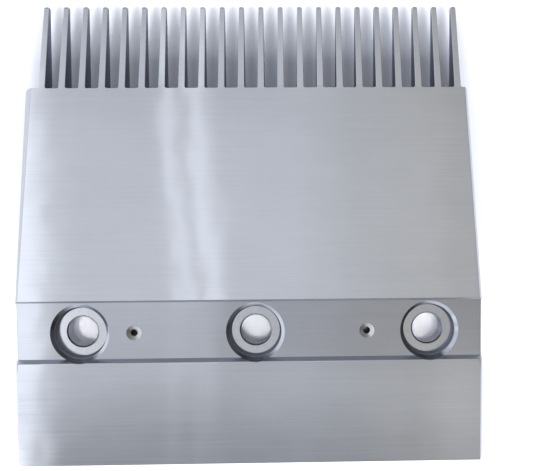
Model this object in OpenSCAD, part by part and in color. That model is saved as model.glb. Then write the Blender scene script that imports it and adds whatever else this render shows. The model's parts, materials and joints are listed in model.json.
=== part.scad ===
// Comb plate for the landing of an escalator: one aluminium comb segment.
// X runs across the segment, +Y points along the teeth, +Z is up.
// The origin is on the axis of the middle screw hole, in the plane of the
// seat under the screw pads. The underside of the seat is Z = 0, and the
// tooth tips hang below it, as they do when the comb dips into the treads.
// The segment is one casting: its members are drawn as separate solids that
// meet face to face.

/* [Comb] */
// Pitch of the tread grooves that the teeth run in
pitch = 9.068; // [9:0.001:9.2]
// Number of teeth
teeth = 22; // [22:2:26]
// Length of a tooth along Y, from the root line to the tip
tooth_len = 39.3; // [34:0.1:42]
// Width of a tooth at its root
tooth_root_w = 3.05; // [2.8:0.05:4]
// Width of a tooth at its tip
tooth_tip_w = 2.4; // [2.2:0.1:2.9]
// Thickness of a tooth at its tip
tip_t = 2.2; // [2:0.1:4]
// Depth of a tooth at its root
root_depth = 10.8; // [9:0.1:13]
// Slope of the top of the teeth, in degrees
tooth_slope = 14.4; // [13:0.1:18]
// Radius in the corners between the teeth
root_r = 0.7; // [0.6:0.1:1.2]

/* [Ramp] */
// Distance from the screw row to the root line of the teeth
root_y = 108; // [100:0.5:112]
// Slope of the ramp, in degrees
ramp_slope = 16; // [14:0.5:17]
// Thickness of the ramp plate, measured vertically
deck_t = 5.2; // [4:0.1:5.5]
// Depth of the solid bar that carries the teeth
bar_d = 10; // [8:0.5:14]
// Chamfer along the right side edge of the ramp
side_chamfer = 1.2; // [0.5:0.1:2]
// Extra width of the ramp's left side at the root line, which covers the
// gap beside the last groove of a step
flare = 3.2; // [0:0.1:4]

/* [Screw band] */
// Height of the band's face above the seat
band_z = 13.5; // [12:0.5:16]
// Distance from the screw row to the ramp's rear edge
band_front = 13.3; // [13.2:0.1:15]
// Height of the ramp's rear edge above the band
edge_step = 1.9; // [1:0.1:2.4]
// Distance from the screw row back to the foot of the rear step
band_rear = 11.1; // [10.5:0.1:12.5]
// Height of the rear land above the band
land_step = 2.7; // [2:0.1:4]
// Length of the sloping face of the rear step along Y
step_run = 1.2; // [0.5:0.1:2.5]
// Spacing of the screw holes
screw_pitch = 75; // [72:0.5:78]
// Diameter of a screw hole
screw_d = 13; // [10:0.5:14]
// Diameter of the counterbore for a screw head
cbore_d = 22.4; // [20:0.1:24]
// Depth of the counterbore
cbore_depth = 5; // [4:0.1:7]
// Chamfer round the mouth of the counterbore: its width and its depth
cbore_chamfer = 1.4; // [0.5:0.1:1.5]
cbore_chamfer_d = 1.05; // [0.5:0.05:1.5]
// Slope round the floor of the counterbore, where the wall meets it
cbore_foot = 0.8; // [0.3:0.1:1]
// Distance of the plate's middle from the middle screw hole
middle_x = -2; // [-3:0.5:3]
// Distance of each small tapped hole from the plate's middle
tap_x = 50; // [46:0.5:52]
// Diameter of the small tapped holes
tap_d = 2.9; // [2.5:0.1:4.2]
// Countersink round a small tapped hole: its diameter and its depth
tap_csk_d = 6.4; // [5:0.1:8]
tap_csk_depth = 0.95; // [0.5:0.05:1.6]

/* [Rear land and underside] */
// Distance from the screw row to the rear end
rear_len = 56.5; // [54:0.5:62]
// Thickness of the rear land
land_t = 6; // [5:0.5:7]
// Thickness of the band's plate
web_t = 6; // [5:0.5:7]
// Thickness of the side walls
side_t = 5; // [4:0.5:6]
// Thickness of the rear wall
rear_t = 6; // [4:0.5:8]
// Thickness of the ribs
rib_t = 4; // [3:0.5:5]
// Width of a screw pad across X
pad_w = 32; // [30:1:34]

/* [Hidden] */
$fn = 96;
width = pitch * teeth;
xl = middle_x - width / 2;              // left side face
xr = middle_x + width / 2;              // right side face
land_z = band_z + land_step;            // top of the rear land
edge_z = band_z + edge_step;            // top of the ramp's rear edge
pad_y = band_rear + step_run + 3;       // rear face of the screw pads
tip_y = root_y + tooth_len;
bar_y = root_y - bar_d;
stub = root_r + 0.2;                    // tooth roots that grow out of the bar
keel_y = 18;                            // where the seat plane ends
seats = [-screw_pitch, 0, screw_pitch];
ribs = [-screw_pitch, -screw_pitch / 2, 0, screw_pitch / 2, screw_pitch];
cross_y = 56;                           // middle of the cross rib
strip_x0 = xl + 1;                      // upper edge of the left chamfer, at keel_y
strip_x1 = xl - 0.1;                    // and at the root line
rail_t = 6;
e = 1;                                  // overshoot of cutting shapes

// Heights of the outline at a distance y from the screw row
function ramp_top(y) = edge_z - (y - band_front) * tan(ramp_slope);
function tooth_top(y) = ramp_top(root_y) - (y - root_y) * tan(tooth_slope);
tip_bottom = tooth_top(tip_y) - tip_t;
root_low = ramp_top(root_y) - root_depth;
// Underside of the teeth
function tooth_low(y) = root_low + (tip_bottom - root_low) * (y - root_y) / tooth_len;
// Lower edge of the side walls ahead of the seat. On a table the segment
// rests on its lower rear edge and on the lower edge of the tooth bar
function keel(y) = y < keel_y ? 0 : root_low * (y - keel_y) / (root_y - keel_y);
// How far the left side of the ramp stands out at a distance y
function flare_at(y) = y < keel_y ? 0 : flare * (y - keel_y) / (root_y - keel_y);

alloy = [0.74, 0.76, 0.79];
alloy_cut = [0.80, 0.81, 0.83];
alloy_cast = [0.60, 0.62, 0.65];

// Extrudes an outline drawn in Y and Z from x0 to x1
module profile(x0, x1, pts)
    translate([x0, 0, 0]) rotate([90, 0, 90])
        linear_extrude(height = x1 - x0) polygon(pts);

// A long bar along Y over an outline drawn in X and Z. It falls at the given
// slope, and moves by shear along X for every millimetre along Y
module long_bar(slope, shear, pts)
    multmatrix([[1, shear, 0, 0], [0, 1, 0, 0],
                [0, -tan(slope), 1, 0], [0, 0, 0, 1]])
        rotate([90, 0, 0]) translate([0, 0, -200])
            linear_extrude(height = 400) polygon(pts);

// Everything between the side faces of the flat rear part, with a chamfer
// along both upper edges
module land_trim(c) long_bar(0, 0, [[xl, -60], [xr, -60], [xr, land_z - c],
    [xr - c, land_z], [xl + c, land_z], [xl, land_z - c]]);

// The same for the ramp. The chamfer on the left grows wider towards the
// root line, as that side flares out and its upper edge stays nearly straight
module ramp_trim() {
    z0 = ramp_top(0);
    k = side_chamfer / cos(ramp_slope);
    lead = (strip_x0 - strip_x1) / (root_y - keel_y);
    x0 = strip_x0 + lead * keel_y;
    intersection() {
        long_bar(ramp_slope, 0, [[xl - 20, z0 - 80], [xr, z0 - 80], [xr, z0 - k],
                                 [xr - side_chamfer, z0], [xl - 20, z0]]);
        long_bar(ramp_slope, -lead, [[x0 - 20, z0 - 80], [xr + 20, z0 - 80],
                                     [xr + 20, z0], [x0, z0], [x0 - 20, z0 - 14]]);
    }
}

// Plan of the ramp between two distances from the screw row
module ramp_plan(y0, y1) polygon([[xr, y0], [xr, y1], [xl - flare_at(y1), y1],
    [xl - flare_at(max(y0, keel_y)), max(y0, keel_y)], [xl, y0]]);

// ---------------------------------------------------------------- teeth
module tooth_plan() {
    a = tooth_root_w / 2;
    b = tooth_tip_w / 2;
    r = 1.1;
    difference() {
        polygon([[-a, root_y + stub], [a, root_y + stub], [b, tip_y], [-b, tip_y]]);
        for (s = [-1, 1]) translate([s * (b - r), tip_y - r]) difference() {
            translate([s > 0 ? 0 : -r - 1, 0]) square([r + 1, r + 1]);
            circle(r);
        }
    }
}

module tooth() {
    y0 = root_y + stub;
    n = 0.8;
    intersection() {
        translate([0, 0, -60]) linear_extrude(height = 80) tooth_plan();
        profile(-3, 3, [[y0, tooth_low(y0)], [tip_y - n, tooth_low(tip_y - n)],
                        [tip_y, tip_bottom + n], [tip_y, tooth_top(tip_y) - 0.5],
                        [tip_y - 0.8, tooth_top(tip_y - 0.8)], [y0, tooth_top(y0)]]);
    }
}

module tooth_row(first, last)
    color(alloy) for (i = [first:last])
        translate([middle_x + (i - (teeth - 1) / 2) * pitch, 0, 0]) tooth();

module teeth_left() { tooth_row(0, 6); }
module teeth_middle() { tooth_row(7, teeth - 8); }
module teeth_right() { tooth_row(teeth - 7, teeth - 1); }

// The bar that the teeth grow out of, with a radius in every corner
module root_plan() {
    r = 1.6;
    q = 2;
    difference() {
        polygon([[xl - flare_at(bar_y), bar_y], [xr, bar_y], [xr, root_y],
                 [xl - flare, root_y]]);
        translate([xl - flare - 1, root_y - q]) difference() {
            square([q + 1, q + 1]);
            translate([q + 1, 0]) circle(q);
        }
        translate([xr - r, root_y - r]) difference() {
            square([r + 1, r + 1]);
            circle(r);
        }
    }
    for (i = [0:teeth - 1]) translate([middle_x + (i - (teeth - 1) / 2) * pitch, root_y]) {
        translate([-tooth_root_w / 2, -1]) square([tooth_root_w, stub + 1]);
        for (s = [-1, 1]) difference() {
            translate([s > 0 ? tooth_root_w / 2 - 0.5 : -tooth_root_w / 2 - root_r, -1])
                square([root_r + 0.5, root_r + 1]);
            translate([s * (tooth_root_w / 2 + root_r), root_r]) circle(root_r);
        }
    }
}

module root_bar() color(alloy) {
    intersection() {
        translate([0, 0, -60]) linear_extrude(height = 80) root_plan();
        profile(xl - 5, xr + 1, [[bar_y, keel(bar_y)], [root_y, keel(root_y)],
            [root_y + stub, tooth_low(root_y + stub)], [root_y + stub, tooth_top(root_y + stub)],
            [root_y, ramp_top(root_y)], [bar_y, ramp_top(bar_y)]]);
        ramp_trim();
    }
}

// ----------------------------------------------------------------- ramp
module ramp_deck() color(alloy) {
    intersection() {
        profile(xl - 5, xr + 1, [[band_front, edge_z - deck_t], [bar_y, ramp_top(bar_y) - deck_t],
            [bar_y, ramp_top(bar_y)], [band_front + 0.8, ramp_top(band_front + 0.8)],
            [band_front, edge_z - 0.9]]);
        translate([0, 0, -60]) linear_extrude(height = 90) ramp_plan(band_front, bar_y);
        ramp_trim();
    }
}

// ---------------------------------------------------------- screw band
// Outline of the band, its rear step and the strip of land behind it
band_outline = [[-pad_y, band_z - web_t], [band_front, band_z - web_t],
    [band_front, band_z], [-band_rear, band_z],
    [-band_rear - step_run, land_z], [-pad_y, land_z]];

module counterbore() {
    r = cbore_d / 2;
    floor_z = band_z - cbore_depth;
    translate([0, 0, -e]) cylinder(d = screw_d, h = 40);
    translate([0, 0, floor_z]) cylinder(r1 = r - cbore_foot, r2 = r, h = cbore_foot);
    translate([0, 0, floor_z + cbore_foot]) cylinder(r = r, h = 40);
    translate([0, 0, band_z - cbore_chamfer_d])
        cylinder(r1 = r, r2 = r + cbore_chamfer, h = cbore_chamfer_d);
    translate([0, 0, band_z]) cylinder(r = r + cbore_chamfer, h = 40);
}

// Lower part of a screw pad, down to the seat
module pad_plan() {
    r = 4;
    x = pad_w / 2;
    union() {
        translate([-x + r, -pad_y]) square([2 * (x - r), pad_y + band_front]);
        translate([-x, -pad_y + r]) square([2 * x, pad_y + band_front - 2 * r]);
        for (s = [-1, 1], y = [-pad_y + r, band_front - r])
            translate([s * (x - r), y]) circle(r);
    }
}

module screw_seat(x) color(alloy_cut)
    translate([x, 0, 0]) difference() {
        union() {
            profile(-pad_w / 2, pad_w / 2, band_outline);
            linear_extrude(height = band_z - web_t + 0.5) pad_plan();
        }
        counterbore();
    }

module screw_seat_left() { screw_seat(-screw_pitch); }
module screw_seat_middle() { screw_seat(0); }
module screw_seat_right() { screw_seat(screw_pitch); }

module band_web(x0, x1, xt) color(alloy) {
    boss_z = band_z - web_t - 5;
    csk = (tap_csk_d - tap_d) / 2;
    difference() {
        union() {
            profile(x0, x1, band_outline);
            translate([xt, 0, boss_z]) cylinder(r = 4.5, h = 5.5);
        }
        translate([xt, 0, boss_z - e]) cylinder(d = tap_d, h = 40);
        translate([xt, 0, band_z - tap_csk_depth])
            cylinder(r1 = tap_d / 2, r2 = tap_d / 2 + csk, h = tap_csk_depth);
        translate([xt, 0, band_z]) cylinder(d = tap_csk_d, h = 10);
    }
}

module band_web_left() {
    band_web(-screw_pitch + pad_w / 2, -pad_w / 2, middle_x - tap_x);
}
module band_web_right() {
    band_web(pad_w / 2, screw_pitch - pad_w / 2, middle_x + tap_x);
}

module band_end(x0, x1) color(alloy) intersection() {
    profile(x0, x1, band_outline);
    land_trim(1);
}
module band_end_left() { band_end(xl, -screw_pitch - pad_w / 2); }
module band_end_right() { band_end(screw_pitch + pad_w / 2, xr); }

// ----------------------------------------------------------- rear land
module rear_plan(y1) {
    r = 1.5;
    translate([xl + r, -rear_len]) square([width - 2 * r, rear_len + y1]);
    translate([xl, -rear_len + r]) square([width, rear_len + y1 - r]);
    for (x = [xl + r, xr - r]) translate([x, -rear_len + r]) circle(r);
}

module rear_land() color(alloy) intersection() {
    translate([0, 0, land_z - land_t]) linear_extrude(height = land_t) rear_plan(-pad_y);
    land_trim(1);
}

module rear_wall() color(alloy_cast)
    linear_extrude(height = land_z - land_t) rear_plan(-rear_len + rear_t);

// ---------------------------------------------------------- side walls
rear_side_outline = [[-rear_len + rear_t, 0], [keel_y, 0],
    [keel_y, ramp_top(keel_y) - deck_t], [band_front, edge_z - deck_t],
    [band_front, band_z - web_t], [-pad_y, band_z - web_t],
    [-pad_y, land_z - land_t], [-rear_len + rear_t, land_z - land_t]];
ramp_side_outline = [[keel_y, 0], [bar_y, keel(bar_y)],
    [bar_y, ramp_top(bar_y) - deck_t], [keel_y, ramp_top(keel_y) - deck_t]];

module rear_side_left() color(alloy_cast) profile(xl, xl + side_t, rear_side_outline);
module rear_side_right() color(alloy_cast) profile(xr - side_t, xr, rear_side_outline);
module ramp_side_left() color(alloy_cast) intersection() {
    profile(xl - 5, xl + side_t, ramp_side_outline);
    translate([0, 0, -60]) linear_extrude(height = 90)
        polygon([[xl, keel_y], [xl + side_t, keel_y], [xl + side_t, bar_y],
                 [xl - flare_at(bar_y), bar_y]]);
}
module ramp_side_right() color(alloy_cast) profile(xr - side_t, xr, ramp_side_outline);

// ----------------------------------------------------------- underside
// A rib from the band to the tooth bar, under the ramp
module front_rib(x) color(alloy_cast)
    profile(x - rib_t / 2, x + rib_t / 2, [[band_front, 1.5],
        [keel_y, 1.5], [bar_y, keel(bar_y) + 2],
        [bar_y, ramp_top(bar_y) - deck_t], [band_front, edge_z - deck_t]]);

// A rib from the rear wall to the back of the pads, under the rear land
module rear_rib(x, y1) color(alloy_cast)
    profile(x - rib_t / 2, x + rib_t / 2, [[-rear_len + rear_t, 1.5], [y1, 1.5],
        [y1, land_z - land_t], [-rear_len + rear_t, land_z - land_t]]);

module front_rib_left() { front_rib(ribs[0]); }
module front_rib_mid_left() { front_rib(ribs[1]); }
module front_rib_middle() { front_rib(ribs[2]); }
module front_rib_mid_right() { front_rib(ribs[3]); }
module front_rib_right() { front_rib(ribs[4]); }
module rear_rib_left() { rear_rib(ribs[0], -pad_y); }
module rear_rib_mid_left() { rear_rib(ribs[1], -pad_y); }
module rear_rib_middle() { rear_rib(ribs[2], -pad_y); }
module rear_rib_mid_right() { rear_rib(ribs[3], -pad_y); }
module rear_rib_right() { rear_rib(ribs[4], -pad_y); }

// Stiffeners between the ribs, half way along the ramp
starts = concat([xl + side_t], [for (x = ribs) x + rib_t / 2]);
module cross_rib() color(alloy_cast)
    for (i = [0:len(ribs)])
        profile(starts[i], i < len(ribs) ? ribs[i] - rib_t / 2 : xr - side_t,
            [[cross_y - rib_t / 2, keel(cross_y - rib_t / 2) + 3],
             [cross_y + rib_t / 2, keel(cross_y + rib_t / 2) + 3],
             [cross_y + rib_t / 2, ramp_top(cross_y + rib_t / 2) - deck_t],
             [cross_y - rib_t / 2, ramp_top(cross_y - rib_t / 2) - deck_t]]);

// Rail under the front edge of the band, between the pads and the side walls
rail_gaps = [[xl + side_t, -screw_pitch - pad_w / 2],
             [-screw_pitch + pad_w / 2, -pad_w / 2],
             [pad_w / 2, screw_pitch - pad_w / 2],
             [screw_pitch + pad_w / 2, xr - side_t]];
module seat_rail() color(alloy_cast)
    for (g = rail_gaps) translate([g[0], band_front - rail_t, 0])
        cube([g[1] - g[0], rail_t, band_z - web_t]);

ramp_deck();
root_bar();
teeth_left();
teeth_middle();
teeth_right();
screw_seat_left();
screw_seat_middle();
screw_seat_right();
band_web_left();
band_web_right();
band_end_left();
band_end_right();
rear_land();
rear_wall();
rear_side_left();
rear_side_right();
ramp_side_left();
ramp_side_right();
front_rib_left();
front_rib_mid_left();
front_rib_middle();
front_rib_mid_right();
front_rib_right();
rear_rib_left();
rear_rib_mid_left();
rear_rib_middle();
rear_rib_mid_right();
rear_rib_right();
cross_rib();
seat_rail();
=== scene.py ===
"""Looks of the escalator comb plate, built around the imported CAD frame.

Every member of the casting gets a visual copy with softened edges, in the
same place and of the same size. Lengths are metres in the row frame.
"""

import json
import math

import bmesh
import bpy
from mathutils import Euler, Matrix, Vector
from mathutils.bvhtree import BVHTree


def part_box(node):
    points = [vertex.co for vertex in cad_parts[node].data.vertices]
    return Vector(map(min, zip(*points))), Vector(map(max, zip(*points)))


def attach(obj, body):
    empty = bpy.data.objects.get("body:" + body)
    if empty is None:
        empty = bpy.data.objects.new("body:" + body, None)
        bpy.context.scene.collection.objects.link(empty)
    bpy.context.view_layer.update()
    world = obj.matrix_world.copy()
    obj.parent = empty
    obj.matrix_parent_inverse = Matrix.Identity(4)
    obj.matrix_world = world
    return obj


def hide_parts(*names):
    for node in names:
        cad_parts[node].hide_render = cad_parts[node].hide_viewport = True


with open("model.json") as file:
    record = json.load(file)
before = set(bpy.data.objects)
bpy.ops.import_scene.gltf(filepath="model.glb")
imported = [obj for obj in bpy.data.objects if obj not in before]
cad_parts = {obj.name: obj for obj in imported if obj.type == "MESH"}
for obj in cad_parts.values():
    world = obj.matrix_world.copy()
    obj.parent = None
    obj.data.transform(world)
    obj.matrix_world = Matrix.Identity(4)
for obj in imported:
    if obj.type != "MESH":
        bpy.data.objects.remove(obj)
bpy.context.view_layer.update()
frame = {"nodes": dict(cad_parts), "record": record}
nodes = frame["nodes"]
mm = 0.001

SLOTS = {n: m for n, m in ((s["node"], s["material_slot"]) for s in frame["record"]["subparts"])}

# ------------------------------------------------------------------ shape
UP = Vector((0, 0, 1))
SEAT_X = (-75 * mm, 0.0, 75 * mm)
TAP_X = (-52 * mm, 48 * mm)
BAND_Z = 13.5 * mm
FLOOR_Z = 8.5 * mm
LAND_Z = 16.2 * mm
CBORE_R = 11.2 * mm
SCREW_R = 6.5 * mm
BRIM = 0.55 * mm


def cleaned(name):
    """The node's mesh with its triangles joined into flat faces."""
    bm = bmesh.new()
    bm.from_mesh(nodes[name].data)
    bmesh.ops.remove_doubles(bm, verts=bm.verts, dist=3e-6)
    bmesh.ops.dissolve_limit(
        bm, angle_limit=math.radians(0.25), use_dissolve_boundaries=False,
        verts=bm.verts, edges=bm.edges, delimit=set())
    bm.normal_update()
    return bm


shapes = {n: cleaned(n) for n in sorted(nodes)}
trees = {n: BVHTree.FromBMesh(bm) for n, bm in shapes.items()}
boxes = {n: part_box(n) for n in shapes}
PROBE = Vector((0.2113, 0.3571, 0.9098)).normalized()


def inside(name, p):
    """True if the point is inside the node's solid."""
    lo, hi = boxes[name]
    if any(p[i] < lo[i] or p[i] > hi[i] for i in range(3)):
        return False
    hits, start = 0, p.copy()
    for _ in range(60):
        where, _n, _i, _d = trees[name].ray_cast(start, PROBE)
        if where is None:
            break
        hits += 1
        start = where + PROBE * 2e-6
    return hits % 2 == 1


def covered(name, edge, face):
    """True if another member lies on this face along this edge."""
    mid = (edge.verts[0].co + edge.verts[1].co) / 2
    loop = next(l for l in edge.link_loops if l.face == face)
    forward = (loop.link_loop_next.vert.co - loop.vert.co).normalized()
    into = face.normal.cross(forward)
    p = mid + into * 0.12 * mm + face.normal * 0.03 * mm
    return any(inside(other, p) for other in shapes if other != name)


def edge_width(name, edge):
    """Radius of the softened edge in millimetres, or 0 for a seam."""
    if len(edge.link_faces) != 2:
        return 0.0
    f, g = edge.link_faces
    angle = edge.calc_face_angle(0.0)
    if angle < math.radians(24):
        return 0.0
    comb = name.startswith(("teeth", "root_bar"))
    if edge.calc_length() < (0.004 if comb else 0.12) * mm:
        return 0.0
    if covered(name, edge, f) or covered(name, edge, g):
        return 0.0
    mid = (edge.verts[0].co + edge.verts[1].co) / 2
    if not edge.is_convex:
        return 0.0
    if comb:
        return 0.22
    if name.startswith("screw_seat"):
        for x in SEAT_X:
            r = math.hypot(mid.x - x, mid.y)
            if r < 6.7 * mm and mid.z > 8 * mm:
                return BRIM / mm
            if r < 13.2 * mm:
                return 0.14
        return 0.45 if mid.z > 14 * mm else 0.5
    if name.startswith("band_web"):
        for x in TAP_X:
            if math.hypot(mid.x - x, mid.y) < 6 * mm:
                return 0.1
    if name.startswith("band"):
        return 0.45 if mid.z > 14 * mm else 0.5
    if name == "ramp_deck":
        return 0.4
    if name == "rear_land":
        return 0.45
    return 0.6


def softened(name):
    """A copy of the node with its real edges rounded, and its seams left flat."""
    bm = shapes[name]
    weights = bm.edges.layers.float.get("bevel_weight_edge") or \
        bm.edges.layers.float.new("bevel_weight_edge")
    for e in bm.edges:
        e[weights] = edge_width(name, e)
    brim = [e for e in bm.edges if name.startswith("screw_seat") and e[weights] and
            all(abs(v.co.z - FLOOR_Z) < 0.01 * mm for v in e.verts) and
            any(abs(math.hypot(e.verts[0].co.x - x, e.verts[0].co.y) - SCREW_R) < 0.1 * mm
                for x in SEAT_X)]
    if brim:
        for e in brim:
            e[weights] = 0.0
        bmesh.ops.bevel(bm, geom=brim, offset=BRIM, offset_type="OFFSET", segments=3,
                        profile=0.5, affect="EDGES", clamp_overlap=False, material=-1)
        bm.normal_update()
    mesh = bpy.data.meshes.new(name + "_visual")
    bm.to_mesh(mesh)
    raw = bpy.data.objects.new(name + "_raw", mesh)
    bpy.context.scene.collection.objects.link(raw)
    bevel = raw.modifiers.new("edges", "BEVEL")
    bevel.limit_method = "WEIGHT"
    bevel.offset_type = "OFFSET"
    bevel.width = 1.0 * mm
    bevel.segments = 3
    bevel.use_clamp_overlap = not name.startswith(("teeth", "root_bar"))
    bevel.miter_outer = "MITER_SHARP"
    bevel.harden_normals = False
    bpy.context.view_layer.update()
    done = bpy.data.meshes.new_from_object(
        raw.evaluated_get(bpy.context.evaluated_depsgraph_get()))
    bpy.data.objects.remove(raw)
    done.name = name + "_visual"
    return done


def turned(name, p, v):
    """The true normal of the turned surface that the face p of a hole belongs
    to, at the vertex v, or None."""
    if name.startswith("screw_seat"):
        x, surfaces = min(SEAT_X, key=lambda s: abs(s - p.center.x)), (
            (CBORE_R, 12.6 * mm, 0.8), (CBORE_R, CBORE_R, 0.0), (SCREW_R, SCREW_R, 0.0))
    elif name.startswith("band_web"):
        x, surfaces = min(TAP_X, key=lambda s: abs(s - p.center.x)), (
            (1.45 * mm, 3.2 * mm, 0.7071), (1.45 * mm, 1.45 * mm, 0.0))
    else:
        return None
    radii = [math.hypot(mesh_v.x - x, mesh_v.y) for mesh_v in p.corners]
    out = Vector((v.x - x, v.y, 0))
    if p.normal.x * (p.center.x - x) + p.normal.y * p.center.y > 0:
        return None
    for r0, r1, nz in surfaces:
        if abs(p.normal.z - nz) < 0.03 and min(radii) > r0 - 0.15 * mm and max(radii) < r1 + 0.15 * mm:
            flat = -out.normalized() * math.sqrt(1 - nz * nz)
            return Vector((flat.x, flat.y, nz))
    return None


class Face:
    """What turned() needs to know of a face."""

    def __init__(self, polygon, co):
        self.normal, self.center = polygon.normal, polygon.center
        self.corners = [co[v] for v in polygon.vertices]


def smoothed(mesh, name):
    """Shading normals: a flat face keeps its own, and the rounded edges and
    the walls of the holes run smoothly into it."""
    polys = mesh.polygons
    flat = [p.area > 6e-6 for p in polys]
    round_vertex = {}
    for p in polys:
        for v in p.vertices:
            round_vertex.setdefault(v, []).append(p.index)
    limit = math.cos(math.radians(38))
    out = [None] * len(mesh.loops)
    co = [v.co.copy() for v in mesh.vertices]
    for p in polys:
        face = Face(p, co)
        for li in p.loop_indices:
            if flat[p.index]:
                out[li] = p.normal
                continue
            exact = turned(name, face, co[mesh.loops[li].vertex_index])
            if exact:
                out[li] = exact
                continue
            near = [polys[i] for i in round_vertex[mesh.loops[li].vertex_index]
                    if polys[i].normal.dot(p.normal) > limit]
            wide = [q for q in near if flat[q.index]]
            if wide:
                out[li] = max(wide, key=lambda q: q.normal.dot(p.normal)).normal
            else:
                total = Vector((0, 0, 0))
                for q in near:
                    total += q.normal * (q.area + 1e-9)
                out[li] = total.normalized()
    mesh.normals_split_custom_set([tuple(n) for n in out])


def grain_uv(mesh):
    """A UV map whose U runs across the brushing of each face."""
    layer = mesh.uv_layers.new(name="grain")
    co = [v.co.copy() for v in mesh.vertices]
    for p in mesh.polygons:
        n = p.normal
        if abs(n.z) >= max(abs(n.x), abs(n.y)) * 0.6:
            f = lambda v: (v.y, v.x)
        elif abs(n.x) > abs(n.y):
            f = lambda v: (v.z, v.y)
        else:
            f = lambda v: (v.z, v.x)
        for li in p.loop_indices:
            v = co[mesh.loops[li].vertex_index]
            layer.data[li].uv = [c * 10 for c in f(v)]


# --------------------------------------------------------------- materials
def new_material(name):
    m = bpy.data.materials.new(name)
    m.use_nodes = True
    m.node_tree.nodes.clear()
    return m, m.node_tree.nodes, m.node_tree.links


def add(ns, kind, **values):
    node = ns.new(kind)
    for key, value in values.items():
        setattr(node, key, value)
    return node


def math_node(ns, ls, op, a, b=None, c=None, clamp=False):
    node = add(ns, "ShaderNodeMath", operation=op, use_clamp=clamp)
    for i, v in enumerate((a, b, c)):
        if v is None:
            continue
        if isinstance(v, (int, float)):
            node.inputs[i].default_value = v
        else:
            ls.new(v, node.inputs[i])
    return node.outputs[0]


def stretched_noise(ns, ls, coord, scale, detail=2.0, rough=0.5, offset=(0, 0, 0)):
    """Noise over object coordinates, drawn out by the three scales."""
    m = add(ns, "ShaderNodeMapping")
    m.inputs["Location"].default_value = offset
    m.inputs["Scale"].default_value = scale
    ls.new(coord, m.inputs["Vector"])
    n = add(ns, "ShaderNodeTexNoise", noise_dimensions="3D")
    n.inputs["Scale"].default_value = 1.0
    n.inputs["Detail"].default_value = detail
    n.inputs["Roughness"].default_value = rough
    ls.new(m.outputs[0], n.inputs["Vector"])
    return n.outputs["Fac"]


def span(ns, ls, value, lo, hi, out_lo, out_hi):
    r = add(ns, "ShaderNodeMapRange", clamp=True)
    r.inputs["From Min"].default_value = lo
    r.inputs["From Max"].default_value = hi
    r.inputs["To Min"].default_value = out_lo
    r.inputs["To Max"].default_value = out_hi
    ls.new(value, r.inputs["Value"])
    return r.outputs[0]


def tint(ns, ls, colour, factor):
    """The colour times a grey factor."""
    v = add(ns, "ShaderNodeVectorMath", operation="SCALE")
    v.inputs[0].default_value = colour
    ls.new(factor, v.inputs["Scale"])
    return v.outputs[0]


def shader(ns, ls, metallic, roughness=None, aniso=None):
    b = add(ns, "ShaderNodeBsdfPrincipled")
    b.inputs["Metallic"].default_value = metallic
    if roughness is not None:
        b.inputs["Roughness"].default_value = roughness
    if aniso is not None:
        b.inputs["Anisotropic"].default_value = aniso
        t = add(ns, "ShaderNodeTangent", direction_type="UV_MAP", uv_map="grain")
        ls.new(t.outputs[0], b.inputs["Tangent"])
    out = add(ns, "ShaderNodeOutputMaterial")
    ls.new(b.outputs[0], out.inputs["Surface"])
    return b


def bump(ns, ls, height, strength, distance, b):
    n = add(ns, "ShaderNodeBump")
    n.inputs["Strength"].default_value = strength
    n.inputs["Distance"].default_value = distance
    ls.new(height, n.inputs["Height"])
    ls.new(n.outputs[0], b.inputs["Normal"])
    return n


def brushed(name, colour):
    """Belt-brushed aluminium: fine scratches along X, and a face that isn't
    perfectly flat."""
    m, ns, ls = new_material(name)
    coord = add(ns, "ShaderNodeTexCoord").outputs["Object"]
    fine = stretched_noise(ns, ls, coord, (28, 2600, 900), 2, 0.5)
    mid = stretched_noise(ns, ls, coord, (14, 700, 260), 2, 0.5, (3, 1, 2))
    broad = stretched_noise(ns, ls, coord, (16, 34, 20), 3, 0.6, (7, 2, 5))
    b = shader(ns, ls, 1.0, None, 0.95)
    wave = stretched_noise(ns, ls, coord, (26, 20, 20), 2, 0.5, (1, 5, 3))
    f1 = span(ns, ls, fine, 0.3, 0.7, -0.018, 0.018)
    f2 = span(ns, ls, mid, 0.3, 0.7, -0.01, 0.01)
    f3 = span(ns, ls, broad, 0.3, 0.7, -0.03, 0.03)
    total = math_node(ns, ls, "ADD", math_node(ns, ls, "ADD", f1, f2), f3)
    ls.new(tint(ns, ls, colour, math_node(ns, ls, "ADD", total, 1.0)),
           b.inputs["Base Color"])
    ls.new(span(ns, ls, mid, 0.3, 0.7, 0.1, 0.125), b.inputs["Roughness"])
    swell = add(ns, "ShaderNodeBump")
    swell.inputs["Strength"].default_value = 1.0
    swell.inputs["Distance"].default_value = 0.00022
    ls.new(wave, swell.inputs["Height"])
    ls.new(swell.outputs[0], bump(ns, ls, fine, 0.1, 0.00001, b).inputs["Normal"])
    return m


def machined(name, colour, rough, shade_toward=None, shade_least=0.17):
    """Turned and faced aluminium round the screw holes. With a direction given, the faces
    that point that way get a darker base colour, down to the given least factor: painted shade on one
    side of a rim or hole wall."""
    m, ns, ls = new_material(name)
    coord = add(ns, "ShaderNodeTexCoord").outputs["Object"]
    fine = stretched_noise(ns, ls, coord, (500, 500, 500), 2, 0.5)
    b = shader(ns, ls, 1.0)
    shade = span(ns, ls, fine, 0.3, 0.7, 0.985, 1.015)
    # painted shade: the base colour darkens on faces that point toward the given direction
    if shade_toward:
        facing = add(ns, "ShaderNodeVectorMath", operation="DOT_PRODUCT")
        ls.new(add(ns, "ShaderNodeTexCoord").outputs["Normal"], facing.inputs[0])
        facing.inputs[1].default_value = shade_toward
        shade = math_node(ns, ls, "MULTIPLY", shade,
                          span(ns, ls, facing.outputs["Value"], -0.22, 0.06, 1.0, shade_least))
    ls.new(tint(ns, ls, colour, shade), b.inputs["Base Color"])
    ls.new(span(ns, ls, fine, 0.3, 0.7, rough - 0.03, rough + 0.03), b.inputs["Roughness"])
    return m


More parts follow.
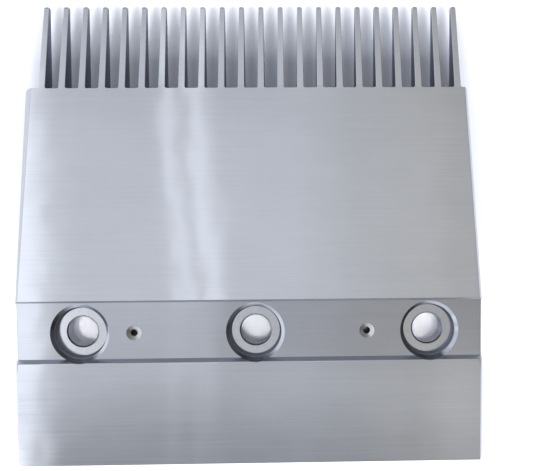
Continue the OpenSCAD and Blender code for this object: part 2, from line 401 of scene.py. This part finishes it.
def cast(name, colour, grain=1.0):
    """Aluminium as cast and blasted."""
    m, ns, ls = new_material(name)
    coord = add(ns, "ShaderNodeTexCoord").outputs["Object"]
    grit = stretched_noise(ns, ls, coord, (2200, 2200, 2200), 3, 0.6)
    cloud = stretched_noise(ns, ls, coord, (90, 90, 90), 3, 0.6, (2, 4, 6))
    b = shader(ns, ls, 1.0)
    f = math_node(ns, ls, "ADD", span(ns, ls, grit, 0.3, 0.7, -0.09 * grain, 0.09 * grain),
                  span(ns, ls, cloud, 0.3, 0.7, 0.92, 1.06))
    ls.new(tint(ns, ls, colour, f), b.inputs["Base Color"])
    ls.new(span(ns, ls, cloud, 0.3, 0.7, 0.46, 0.6), b.inputs["Roughness"])
    bump(ns, ls, grit, 0.5 * grain, 0.00012, b)
    return m


BRUSHED = brushed("brushed_aluminium_visual", (0.735, 0.765, 0.825))
BAND = brushed("band_face_visual", (0.65, 0.675, 0.73))
CAST = cast("cast_aluminium_visual", (0.46, 0.472, 0.495))
FLOOR = machined("turned_floor_visual", (0.84, 0.86, 0.90), 0.15)
# painted shade: a dark arc on one side of the through-holes' top edges
BRINK = machined("hole_edge_visual", (0.62, 0.66, 0.75), 0.2, (0.45, 0.9, 0), 0.12)
# painted shade: a dark crescent on one side of the counterbores' chamfered rims
RIM = machined("turned_rim_visual", (0.70, 0.75, 0.85), 0.13, (0.87, 0.5, 0))
# painted shade: the through-hole walls darken towards one side
BORE = machined("bored_wall_visual", (0.64, 0.66, 0.71), 0.3, (0.45, 0.9, 0), 0.75)
# painted shade: the counterbore walls get a dark base, the shade inside the recess
SHADED_CBORE_WALL = machined("counterbore_wall_visual", (0.24, 0.26, 0.32), 0.4)
# painted shade: the step face gets a darker, bluer base, a shaded line along the step
STEP = machined("step_face_visual", (0.52, 0.54, 0.62), 0.4)
# painted shade: the ramp's rear lip gets a dark base, a dark line along the ramp's rear edge
LIP = machined("ramp_lip_visual", (0.33, 0.34, 0.37), 0.35)
EDGE = machined("chamfer_visual", (0.66, 0.675, 0.71), 0.5)
# painted shade: the countersinks of the tapped holes darken on one side
CONE = machined("countersink_visual", (0.84, 0.85, 0.84), 0.34, (0.8, 0.3, 0), 0.5)
# painted shade: the tapped holes' walls are near-black, the shade inside the holes
TAP = machined("tapped_wall_visual", (0.10, 0.10, 0.11), 0.5)
# as-cast tooth walls, with a darker, bluer base than CAST: painted shade in the gaps between the teeth
SHADED_GAP_WALL = cast("tooth_wall_visual", (0.26, 0.28, 0.35), 0.6)
LOOKS = (BRUSHED, BAND, CAST, FLOOR, BRINK, RIM, BORE, SHADED_CBORE_WALL, STEP, LIP, EDGE, CONE, TAP, SHADED_GAP_WALL)


def finish_of(name, p):
    """The material of a face of a member."""
    n, c = p.normal, p.center
    if SLOTS[name] == "cast_aluminium":
        return CAST
    if name.startswith("screw_seat"):
        r = math.hypot(c.x - min(SEAT_X, key=lambda s: abs(s - c.x)), c.y)
        if abs(c.z - FLOOR_Z) < 0.01 * mm and n.z > 0.99:
            return FLOOR
        if r < SCREW_R + 0.8 * mm and FLOOR_Z - 0.8 * mm < c.z < FLOOR_Z:
            return BRINK
        if r < SCREW_R + 0.4 * mm and c.z < FLOOR_Z and abs(n.z) < 0.5:
            return BORE
        if r < CBORE_R + 0.1 * mm and FLOOR_Z - 0.05 * mm < c.z < BAND_Z - 0.9 * mm:
            return SHADED_CBORE_WALL
        if r < CBORE_R + 1.3 * mm and 0.3 < n.z < 0.95 and c.z < BAND_Z:
            return RIM
    if name.startswith("band_web"):
        r = min(math.hypot(c.x - x, c.y) for x in TAP_X)
        if r < 3.4 * mm and 0.3 < n.z < 0.97:
            return CONE
        if r < 1.7 * mm and abs(n.z) < 0.3:
            return TAP
    if n.y < -0.3 and name == "ramp_deck" and c.z > BAND_Z - 0.5 * mm:
        return LIP
    if 0.3 < n.z < 0.95 and abs(n.x) > 0.3 and not name.startswith("teeth"):
        if abs(c.x + 2 * mm) > 97 * mm:
            return EDGE
    if n.z > 0.97 and abs(c.z - BAND_Z) < 0.2 * mm and name.startswith(("band", "screw")):
        return BAND
    if n.y > 0.3 and BAND_Z + 0.1 * mm < c.z < LAND_Z - 0.1 * mm and c.y < -10 * mm:
        return STEP
    if n.z > 0.3:
        return BRUSHED
    outer = abs(n.x) > 0.7 and abs(c.x + 2 * mm) > 97 * mm and n.x * (c.x + 2 * mm) > 0
    # faces in the gaps between the teeth get the painted-shade wall finish
    gap = c.y > 100 * mm and n.z > -0.5 and (abs(n.x) > 0.3 or c.y < 125 * mm)
    return SHADED_GAP_WALL if name.startswith(("teeth", "root_bar")) and gap and not outer else CAST


made = []
for name in sorted(nodes):
    mesh = softened(name)
    grain_uv(mesh)
    mesh.materials.clear()
    finishes = [finish_of(name, p) for p in mesh.polygons]
    used = [m for m in LOOKS if m in finishes]
    for m in used:
        mesh.materials.append(m)
    for p, m in zip(mesh.polygons, finishes):
        p.material_index = used.index(m)
        p.use_smooth = True
    smoothed(mesh, name)
    o = bpy.data.objects.new(name + "_looks", mesh)
    bpy.context.scene.collection.objects.link(o)
    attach(o, "root")
    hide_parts(name)
    made.append(o)

# ------------------------------------------------------------------- stage
# The part lies on a pale table, on the lower edge of the bar that carries the
# teeth and the lower edge of its rear wall. The table's plane passes through both.
REAR_Y, ROOT_Y, ROOT_Z = -56.5 * mm, 108.0 * mm, -22.555 * mm
tilt = math.atan2(ROOT_Z, ROOT_Y - REAR_Y)
bm = bmesh.new()
bmesh.ops.create_circle(bm, cap_ends=True, radius=4.0, segments=64)
mesh = bpy.data.meshes.new("table")
bm.to_mesh(mesh)
bm.free()
floor = bpy.data.objects.new("table", mesh)
bpy.context.scene.collection.objects.link(floor)
floor.rotation_euler = Euler((tilt, 0, 0))
floor.location = Vector((0, REAR_Y, -0.05 * mm))
m, ns, ls = new_material("table")
b = add(ns, "ShaderNodeBsdfPrincipled")
b.inputs["Base Color"].default_value = (0.84, 0.86, 0.94, 1)
b.inputs["Roughness"].default_value = 0.9
b.inputs["Emission Color"].default_value = (0.84, 0.9, 1.0, 1)
b.inputs["Emission Strength"].default_value = 0.09
clear = add(ns, "ShaderNodeBsdfTransparent")
mix = add(ns, "ShaderNodeMixShader")
out = add(ns, "ShaderNodeOutputMaterial")
ls.new(add(ns, "ShaderNodeNewGeometry").outputs["Backfacing"], mix.inputs[0])
ls.new(b.outputs[0], mix.inputs[1])
ls.new(clear.outputs[0], mix.inputs[2])
ls.new(mix.outputs[0], out.inputs["Surface"])
mesh.materials.append(m)

# ------------------------------------------------------------------- light
world = bpy.data.worlds.new("studio")
bpy.context.scene.world = world
world.use_nodes = True
ns, ls = world.node_tree.nodes, world.node_tree.links
ns.clear()
coord = add(ns, "ShaderNodeTexCoord").outputs["Generated"]
axes = add(ns, "ShaderNodeSeparateXYZ")
ls.new(coord, axes.inputs[0])
SX, SY, SZ = axes.outputs


def ramp_of(value, stops):
    """Piecewise smooth function given by (position, level) stops over -1 to 1."""
    r = add(ns, "ShaderNodeValToRGB")
    r.color_ramp.interpolation = "EASE"
    els = r.color_ramp.elements
    while len(els) > 1:
        els.remove(els[-1])
    for i, (pos, level) in enumerate(stops):
        el = els[0] if i == 0 else els.new((pos + 1) / 2)
        el.position = (pos + 1) / 2
        el.color = (level, level, level, 1)
    ls.new(math_node(ns, ls, "MULTIPLY_ADD", value, 0.5, 0.5), r.inputs[0])
    return r.outputs[0]


def times(a, b):
    return math_node(ns, ls, "MULTIPLY", a, b)


def plus(a, b):
    return math_node(ns, ls, "ADD", a, b)


# what the metal mirrors: a white screen on the left, a soft ceiling and a
# darker room on the right
edge_x = math_node(ns, ls, "MULTIPLY_ADD",
                   ramp_of(SY, [(-0.5, 0.15), (-0.35, 0.15), (-0.32, 0.3), (-0.29, 1.15),
                                (-0.25, 1.6), (-0.235, 1.45), (-0.218, 0.35), (-0.157, 0.33),
                                (-0.1, 0.5)]), 0.04, plus(SX, -0.02))
room = ramp_of(edge_x, [(-1.0, 0.66), (-0.6, 0.7), (-0.46, 1.0), (-0.4, 1.3), (-0.345, 1.22), (-0.333, 1.04), (-0.32, 0.82),
                    (-0.305, 0.72), (-0.28, 0.69), (-0.05, 0.69), (0.01, 0.69), (0.053, 0.66),
                    (0.1, 0.61), (0.18, 0.58), (0.25, 0.52), (0.28, 0.5), (0.34, 0.4),
                    (0.5, 0.34), (0.7, 0.4), (1.0, 0.5)])
# two strip lights, in the front half of the room
strip_x = math_node(ns, ls, "MULTIPLY_ADD", ramp_of(SY, [(0.0, 0.6), (0.3, 0.0), (0.65, 1.0)]),
                    0.024, plus(SX, -0.0165))
strips = times(ramp_of(strip_x, [(-0.172, 0.0), (-0.164, 0.18), (-0.158, 0.37), (-0.15, 0.35),
                                 (-0.146, 0.0), (-0.133, 0.0), (-0.129, 0.32), (-0.11, 0.31),
                                 (-0.1, 0.16), (-0.082, 0.0)]),
               ramp_of(SY, [(-0.3, 0.3), (-0.2, 0.1), (0.1, 0.3), (0.3, 1.0)]))
# the room is dimmer behind the rear of the part and low down in front of it
depth = ramp_of(SY, [(-1.0, 0.85), (-0.7, 0.72), (-0.5, 0.38), (-0.36, 0.42), (-0.31, 0.62),
                     (-0.25, 0.92), (-0.157, 0.97), (0.1, 1.0), (0.4, 0.99), (0.54, 0.99),
                     (0.6, 0.95), (0.66, 0.86), (0.8, 0.66), (1.0, 0.6)])
# a dark screen stands behind it
shade_x = ramp_of(SX, [(-0.14, 0.0), (-0.06, 1.0), (0.17, 1.0), (0.3, 0.9)])
shade_y = ramp_of(SY, [(-0.4, 0.0), (-0.25, 0.0), (-0.21, 0.29), (-0.1, 0.27), (0.1, 0.0)])
# the white screen on the left reaches further round behind the rear
screen = plus(times(ramp_of(SX, [(-0.7, 0.0), (-0.55, 1.0), (-0.334, 1.0), (-0.326, 0.55),
                                 (-0.318, 0.2), (-0.308, 0.0)]),
                    ramp_of(SY, [(-0.6, 0.0), (-0.42, 0.45), (-0.37, 1.0), (-0.34, 1.05),
                                 (-0.3, 0.62), (-0.275, 0.0),
                                 (-0.235, 0.0), (-0.215, 0.5), (-0.19, 0.4), (-0.157, 0.1),
                                 (-0.12, 0.0)])),
              times(ramp_of(SX, [(-0.7, 1.0), (-0.55, 0.0)]),
                    ramp_of(SY, [(-0.5, 0.6), (-0.3, 0.3), (0.0, 0.0)])))
# and a window is behind it on the right
lift_x = ramp_of(SX, [(-0.1, 0.0), (-0.05, 0.06), (0.05, 0.14), (0.17, 0.3), (0.24, 0.72),
                      (0.32, 0.75), (0.5, 0.0)])
lift_y = ramp_of(SY, [(-0.6, 1.0), (-0.26, 1.0), (-0.22, 0.0)])
upper = plus(times(times(times(plus(room, strips), depth),
                            math_node(ns, ls, "SUBTRACT", 1.0, times(shade_x, shade_y))),
                      plus(times(lift_x, lift_y), 1.0)), screen)

# low down it is dark in front and on the right, and white on the left
lower = math_node(ns, ls, "MAXIMUM",
                  ramp_of(SX, [(-0.85, 0.9), (-0.6, 0.8), (-0.35, 0.28)]),
                  ramp_of(SY, [(-0.9, 0.75), (-0.65, 0.6), (-0.35, 0.28)]))
mix = add(ns, "ShaderNodeMix", data_type="FLOAT")
ls.new(ramp_of(SZ, [(0.3, 0.0), (0.42, 1.0)]), mix.inputs["Factor"])
ls.new(lower, mix.inputs["A"])
ls.new(upper, mix.inputs["B"])
mirrored = mix.outputs[0]

path = add(ns, "ShaderNodeLightPath")
camera_ray, diffuse_ray = path.outputs["Is Camera Ray"], path.outputs["Is Diffuse Ray"]
# what lights the table: little from straight above, where the ceiling is dark
ambient = ramp_of(SX, [(-1.0, 1.5), (-0.5, 1.3), (-0.28, 0.22), (0.28, 0.22), (0.5, 1.3), (1.0, 1.5)])
level = add(ns, "ShaderNodeMix", data_type="FLOAT")
ls.new(diffuse_ray, level.inputs["Factor"])
ls.new(mirrored, level.inputs["A"])
ls.new(ambient, level.inputs["B"])
world.cycles.sampling_method = "NONE"
seen = add(ns, "ShaderNodeMix", data_type="FLOAT")
ls.new(camera_ray, seen.inputs["Factor"])
ls.new(level.outputs[0], seen.inputs["A"])
seen.inputs["B"].default_value = 1.0
cool = add(ns, "ShaderNodeMix", data_type="VECTOR")
ls.new(ramp_of(SX, [(-0.02, 0.0), (0.22, 1.0)]), cool.inputs["Factor"])
cool.inputs[4].default_value = (0.973, 0.99, 1.035)
cool.inputs[5].default_value = (1.004, 0.99, 0.966)
colour = add(ns, "ShaderNodeVectorMath", operation="SCALE")
ls.new(cool.outputs[1], colour.inputs[0])
ls.new(seen.outputs[0], colour.inputs["Scale"])
back = add(ns, "ShaderNodeBackground")
ls.new(colour.outputs[0], back.inputs["Color"])
out = add(ns, "ShaderNodeOutputWorld")
ls.new(back.outputs[0], out.inputs["Surface"])


def area(name, where, target, size, power, colour=(1, 1, 1), size_y=None, spread=180):
    data = bpy.data.lights.new(name, "AREA")
    data.shape = "RECTANGLE" if size_y else "DISK"
    data.size = size
    if size_y:
        data.size_y = size_y
    data.energy = power
    data.spread = math.radians(spread)
    data.color = colour
    o = bpy.data.objects.new(name, data)
    bpy.context.scene.collection.objects.link(o)
    o.location = Vector(where)
    o.rotation_euler = (Vector(target) - Vector(where)).to_track_quat("-Z", "Y").to_euler()
    return o


# Softboxes stand left and right of the table and behind the part, and a narrow
# strip light with a grid hangs over the row of screw holes. The metal mirrors
# the room instead.
for name, where, target, size, power, size_y, spread in (
        ("softbox_left", (-0.75, -0.25, 0.8), (0, 0.05, 0), 0.55, 6.0, None, 180),
        ("softbox_right", (0.75, -0.25, 0.8), (0, 0.05, 0), 0.55, 6.0, None, 180),
        ("softbox_rear", (0, -1.0, 0.6), (0, 0.05, 0), 0.6, 15.0, None, 180),
        ("strip", (0, 0.006, 0.25), (0, 0.006, 0), 0.22, 0.02, 0.012, 14)):
    lamp = area(name, where, target, size, power,
                (1.0, 0.96, 0.93) if name == "strip" else (0.985, 0.99, 1.0), size_y, spread)
    lamp.visible_glossy = False
    lamp.visible_camera = False

# ------------------------------------------------------------------ camera
W, H = 550.0, 471.0
ANGLES = (-2.985, -1.276, -0.405)
PLACE = (12.98 * mm, 56.655 * mm, 308.61 * mm)
FOCAL, CX, CY = 692.06, 300.0, 235.5
data = bpy.data.cameras.new("camera")
data.sensor_width = 36.0
data.lens = FOCAL / W * 36.0
data.shift_x = (W / 2 - CX) / W
data.shift_y = (CY - H / 2) / W
data.clip_start = 0.01
data.clip_end = 50.0
camera = bpy.data.objects.new("camera", data)
bpy.context.scene.collection.objects.link(camera)
camera.rotation_euler = Euler([math.radians(a) for a in ANGLES], "XYZ")
camera.location = Vector(PLACE)
bpy.context.scene.camera = camera

scene = bpy.context.scene
scene.view_settings.view_transform = "Standard"
scene.view_settings.look = "None"
scene.view_settings.exposure = 0.0
scene.view_settings.gamma = 1.0

bpy.context.view_layer.update()
